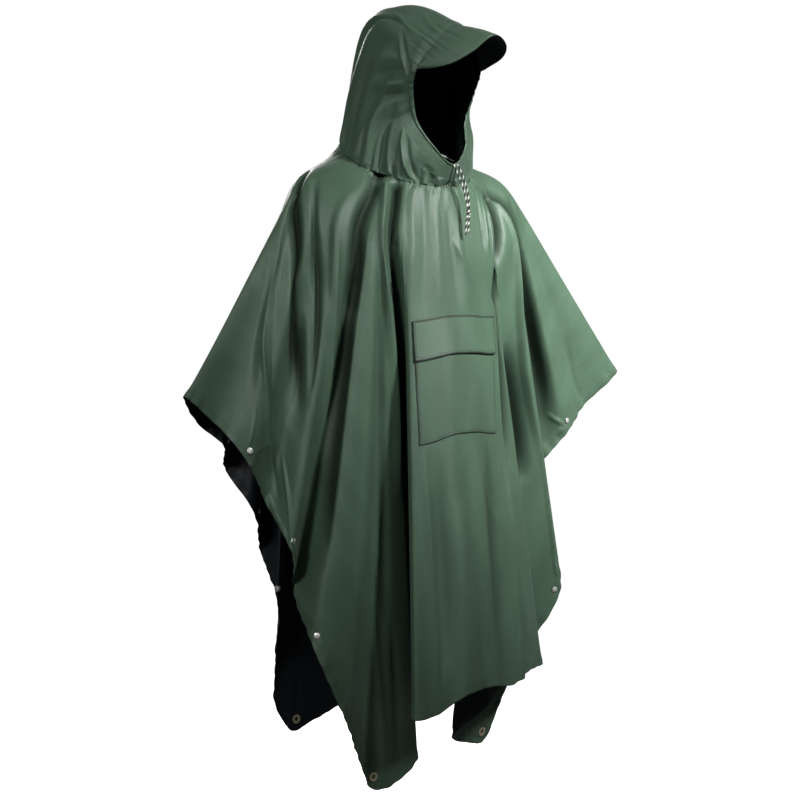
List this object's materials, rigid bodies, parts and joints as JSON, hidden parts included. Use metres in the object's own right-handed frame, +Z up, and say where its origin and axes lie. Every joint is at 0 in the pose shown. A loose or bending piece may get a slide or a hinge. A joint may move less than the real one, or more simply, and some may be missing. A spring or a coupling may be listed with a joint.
{
  "type": "rain poncho",
  "caption": "Hooded rain poncho of thin coated ripstop cloth, hung as worn in deep soft folds, with a peaked hood, drawcord, flapped chest pocket, edge snaps and corner eyelets.",
  "frame": {"origin": "middle of the neck opening at shoulder height, where the garment rests on a wearer", "axes": "+Z up, the wearer faces -Y, +X is the wearer's left"},
  "size_m": [1.0398, 0.557, 1.4635],
  "materials": {
    "ripstop_cloth": "thin coated ripstop, semi-gloss face",
    "eyelet_brass": "satin",
    "snap_metal": "satin",
    "cord": "twisted cord, dark with light strands"
  },
  "bodies": {
    "root": {"front_sheet": "ripstop_cloth", "back_sheet": "ripstop_cloth", "hood": "ripstop_cloth", "hood_brim": "ripstop_cloth", "pocket": "ripstop_cloth", "pocket_flap": "ripstop_cloth", "drawcord_strand_right": "cord", "drawcord_strand_left": "cord", "drawcord_tail_right": "cord", "drawcord_tail_left": "cord", "drawcord_knot": "cord", "eyelet_front_right": "eyelet_brass", "eyelet_front_left": "eyelet_brass", "eyelet_back_right": "eyelet_brass", "eyelet_back_left": "eyelet_brass", "snap_front_right_1_cap": "snap_metal", "snap_front_right_1_socket": "snap_metal", "snap_back_right_1_cap": "snap_metal", "snap_back_right_1_socket": "snap_metal", "snap_front_right_2_cap": "snap_metal", "snap_front_right_2_socket": "snap_metal", "snap_back_right_2_cap": "snap_metal", "snap_back_right_2_socket": "snap_metal", "snap_front_right_3_cap": "snap_metal", "snap_front_right_3_socket": "snap_metal", "snap_back_right_3_cap": "snap_metal", "snap_back_right_3_socket": "snap_metal", "snap_front_left_1_cap": "snap_metal", "snap_front_left_1_socket": "snap_metal", "snap_back_left_1_cap": "snap_metal", "snap_back_left_1_socket": "snap_metal", "snap_front_left_2_cap": "snap_metal", "snap_front_left_2_socket": "snap_metal", "snap_back_left_2_cap": "snap_metal", "snap_back_left_2_socket": "snap_metal", "snap_front_left_3_cap": "snap_metal", "snap_front_left_3_socket": "snap_metal", "snap_back_left_3_cap": "snap_metal", "snap_back_left_3_socket": "snap_metal"}
  },
  "joints": []
}
